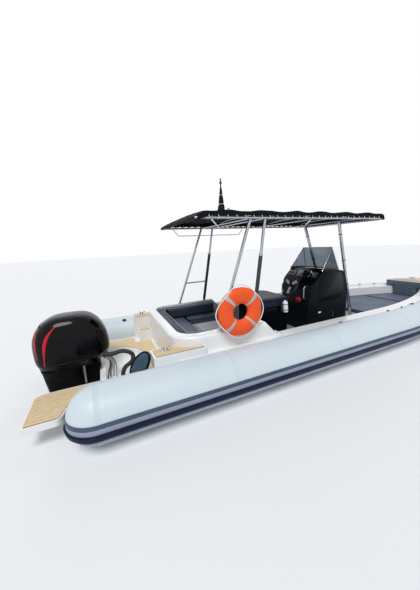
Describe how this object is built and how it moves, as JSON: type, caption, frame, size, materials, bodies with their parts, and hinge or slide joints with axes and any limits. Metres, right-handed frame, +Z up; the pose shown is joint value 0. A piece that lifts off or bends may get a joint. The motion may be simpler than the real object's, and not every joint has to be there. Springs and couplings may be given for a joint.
{
  "type": "rigid inflatable boat",
  "caption": "Rigid inflatable motor boat with a vee hull, inflated collar, helm console, canopy, seats and a tilting, steering outboard engine.",
  "frame": {"origin": "on the centreline at the waterline, at the foot of the transom's aft face", "axes": "+X to the bow, +Y to port, +Z up"},
  "size_m": [8.6824, 2.7682, 3.443],
  "materials": {
    "tube_fabric": "satin",
    "gelcoat_white": "gloss",
    "band_grey": "satin",
    "strake_navy": "satin",
    "vinyl_grey": "satin",
    "vinyl_dark": "satin",
    "black_gloss": "gloss",
    "smoked_glass": "gloss",
    "stainless": "polished",
    "canopy_cloth": "matte",
    "flag_cloth": "matte",
    "white_plastic": "satin",
    "black_plastic": "matte",
    "buoy_orange": "satin",
    "rope_white": "matte",
    "foam_tan": "matte",
    "engine_black": "gloss",
    "engine_block": "cast",
    "black_rubber": "matte"
  },
  "bodies": {
    "boat": {"tube_collar": "tube_fabric", "hull": "gelcoat_white", "deck": "gelcoat_white", "swim_platforms": "gelcoat_white", "grey_band": "band_grey", "navy_strake": "strake_navy", "seat_moulding": "gelcoat_white", "seat_cushions": "vinyl_grey", "back_cushions": "vinyl_dark", "leaning_post": "black_gloss", "post_cushion": "vinyl_dark", "console": "black_gloss", "door_hinge": "stainless", "windscreen": "smoked_glass", "screen_frame": "stainless", "wheel_shaft": "black_plastic", "aft_posts": "stainless", "front_posts": "stainless", "roof_frame": "stainless", "hanging_rail": "stainless", "canopy": "canopy_cloth", "light_staff": "white_plastic", "furled_flag": "flag_cloth", "anchor_light": "white_plastic", "roof_fittings": "black_plastic", "lifebuoy": "buoy_orange", "lifebuoy_rope": "rope_white", "sundeck_base": "gelcoat_white", "sun_pads": "vinyl_grey", "bow_step": "gelcoat_white", "bow_tread": "foam_tan", "bow_backrest": "vinyl_dark", "platform_pads": "foam_tan", "deck_pad": "foam_tan", "step_treads": "foam_tan", "clamp_bracket": "engine_black", "rigging_hose": "black_rubber", "cleats": "stainless", "tube_handles": "black_rubber", "extinguisher": "white_plastic", "bow_eye": "stainless", "throttle": "black_plastic", "instruments": "black_gloss", "grab_rails": "stainless", "oval_pad": "strake_navy", "trim_lines": "band_grey"},
    "swivel": {"swivel_bracket": "engine_black"},
    "outboard": {"cowl": "engine_black", "cowl_pan": "black_plastic", "engine_leg": "engine_black", "gearcase": "engine_black", "powerhead": "engine_block", "hose_grommet": "black_rubber"},
    "propeller": {"propeller": "stainless"},
    "wheel": {"helm_wheel": "black_plastic"},
    "hatch": {"console_door": "black_gloss"}
  },
  "joints": [
    {"name": "engine_tilt", "type": "hinge", "parent": "boat", "child": "swivel", "pos_m": [-0.012, 0, 0.345], "axis": [0, 1, 0], "range_deg": [0, 65], "deforming": ["rigging_hose"]},
    {"name": "engine_steer", "type": "hinge", "parent": "swivel", "child": "outboard", "pos_m": [-0.135, 0, 0.2], "axis": [0, 0, 1], "range_deg": [-30, 30], "deforming": ["rigging_hose"]},
    {"name": "propeller_spin", "type": "hinge", "parent": "outboard", "child": "propeller", "pos_m": [-0.662, 0, -0.55], "axis": [1, 0, 0], "continuous": true},
    {"name": "wheel_turn", "type": "hinge", "parent": "boat", "child": "wheel", "pos_m": [3.215, 0, 0.985], "axis": [-0.9397, 0, 0.342], "range_deg": [-720, 720]},
    {"name": "hatch_swing", "type": "hinge", "parent": "boat", "child": "hatch", "pos_m": [3.819, -0.413, 0.455], "axis": [0, 0, 1], "range_deg": [0, 90]}
  ],
  "couplings": [
    {"joint": "wheel_turn", "follows": "engine_steer", "ratio": -24}
  ]
}
